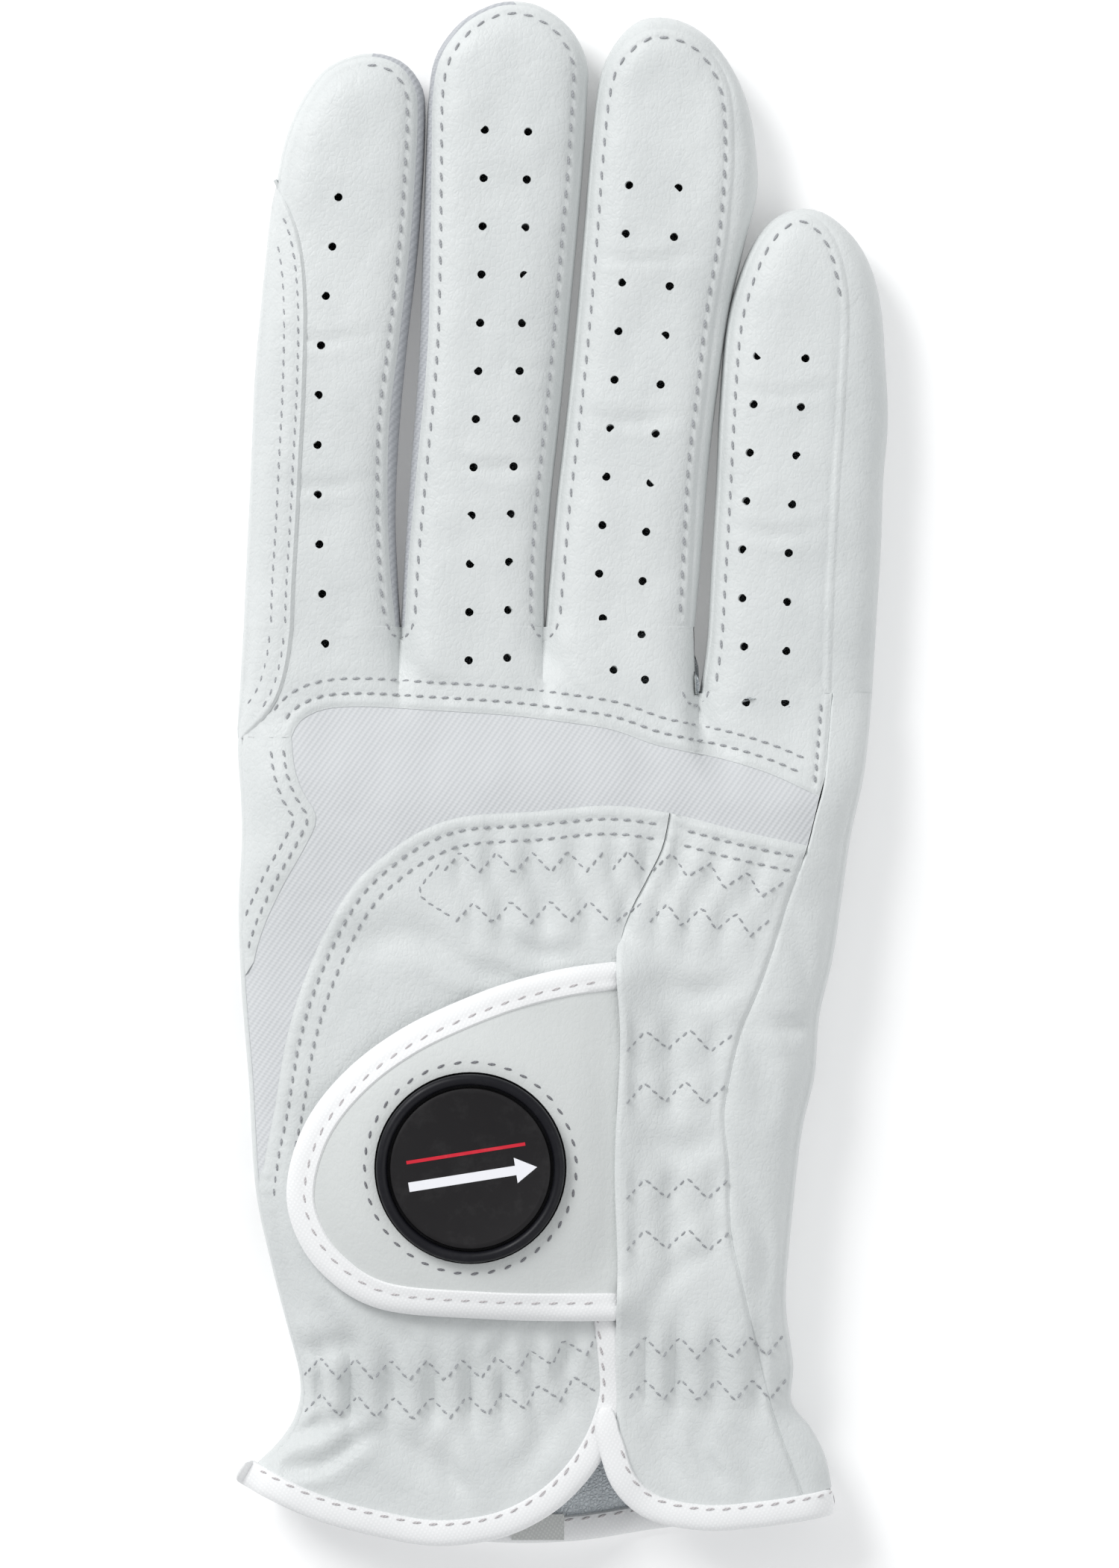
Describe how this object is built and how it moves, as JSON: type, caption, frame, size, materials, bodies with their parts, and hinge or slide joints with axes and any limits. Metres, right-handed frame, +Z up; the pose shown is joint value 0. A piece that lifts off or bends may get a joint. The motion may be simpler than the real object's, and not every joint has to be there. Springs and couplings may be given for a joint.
{
  "type": "golf glove",
  "caption": "Right-hand golf glove lying back up with its thumb folded under: leather panels with a knit knuckle insert, a hook-and-loop closure tab and a removable ball marker.",
  "frame": {"origin": "middle of the glove's outline in plan, on the surface it lies on", "axes": "+X towards the little finger, +Y towards the fingertips, +Z up out of the back of the hand"},
  "size_m": [0.0978, 0.2324, 0.0224],
  "materials": {
    "leather": "matte, fine grained",
    "knit": "matte, fine diagonal rib",
    "binding_tape": "matte, smooth",
    "tab_leather": "matte, smooth",
    "lining": "matte, brushed",
    "elastic": "matte, woven",
    "loop_pile": "matte, brushed pile",
    "hook_tape": "matte, hooked",
    "label": "matte, woven",
    "holder_rubber": "satin, moulded",
    "magnet": "nickel plated",
    "marker_enamel": "satin enamel"
  },
  "bodies": {
    "hand": {"palm_panel": "leather", "knuckle_panel": "leather", "knuckle_side_strip": "leather", "knuckle_insert": "knit", "thumb_side_wedge": "leather", "wrist_back_panel": "leather", "outer_side_panel": "leather", "outer_edge_wrap": "leather", "index_root_wall": "leather", "wrist_side_wall": "leather", "cuff_binding_back": "binding_tape", "cuff_binding_outer": "binding_tape", "cuff_binding_palm": "binding_tape", "size_label": "label", "knuckle_elastic": "elastic", "closure_elastic_upper": "elastic", "closure_elastic_lower": "elastic", "wrist_elastic_thumb_side": "elastic", "wrist_elastic_outer_side": "elastic", "loop_patch": "loop_pile"},
    "index_finger": {"index_back": "leather", "index_front": "leather", "index_thumb_side": "leather", "index_fourchette": "knit", "index_side_strip": "leather"},
    "middle_finger": {"middle_back": "leather", "middle_front": "leather", "middle_index_side_fourchette": "knit", "middle_ring_side_fourchette": "leather"},
    "ring_finger": {"ring_back": "leather", "ring_front": "leather", "ring_middle_side_fourchette": "leather", "ring_little_side_fourchette": "leather"},
    "little_finger": {"little_back": "leather", "little_front": "leather", "little_fourchette": "leather", "little_outer_side": "leather"},
    "thumb": {"thumb_back": "leather", "thumb_front": "leather", "thumb_upper_strip": "leather", "thumb_lower_strip": "leather"},
    "closure_tab": {"tab_top": "tab_leather", "tab_binding": "binding_tape", "tab_lining": "lining", "hook_patch": "hook_tape", "marker_holder": "holder_rubber", "marker_magnet": "magnet"},
    "ball_marker": {"marker_disc": "marker_enamel"}
  },
  "joints": [
    {"name": "index_flex", "type": "hinge", "parent": "hand", "child": "index_finger", "pos_m": [-0.036, 0.0226, 0], "axis": [-1, 0, 0], "range_deg": [0, 75]},
    {"name": "middle_flex", "type": "hinge", "parent": "hand", "child": "middle_finger", "pos_m": [-0.013, 0.0226, 0], "axis": [-1, 0, 0], "range_deg": [0, 75]},
    {"name": "ring_flex", "type": "hinge", "parent": "hand", "child": "ring_finger", "pos_m": [0.009, 0.0226, 0], "axis": [-1, 0, 0], "range_deg": [0, 75]},
    {"name": "little_flex", "type": "hinge", "parent": "hand", "child": "little_finger", "pos_m": [0.034, 0.0122, 0], "axis": [-1, 0, 0], "range_deg": [0, 75]},
    {"name": "thumb_unfold", "type": "hinge", "parent": "hand", "child": "thumb", "pos_m": [-0.0486, -0.046, 0.0063], "axis": [0, 1, 0], "range_deg": [0, 160]},
    {"name": "tab_open", "type": "hinge", "parent": "hand", "child": "closure_tab", "pos_m": [0.008, -0.0545, 0.0176], "axis": [0, 1, 0], "range_deg": [0, 120]},
    {"name": "marker_lift", "type": "slide", "parent": "closure_tab", "child": "ball_marker", "axis": [0, 0, 1], "range_m": [0, 0.0045]}
  ]
}
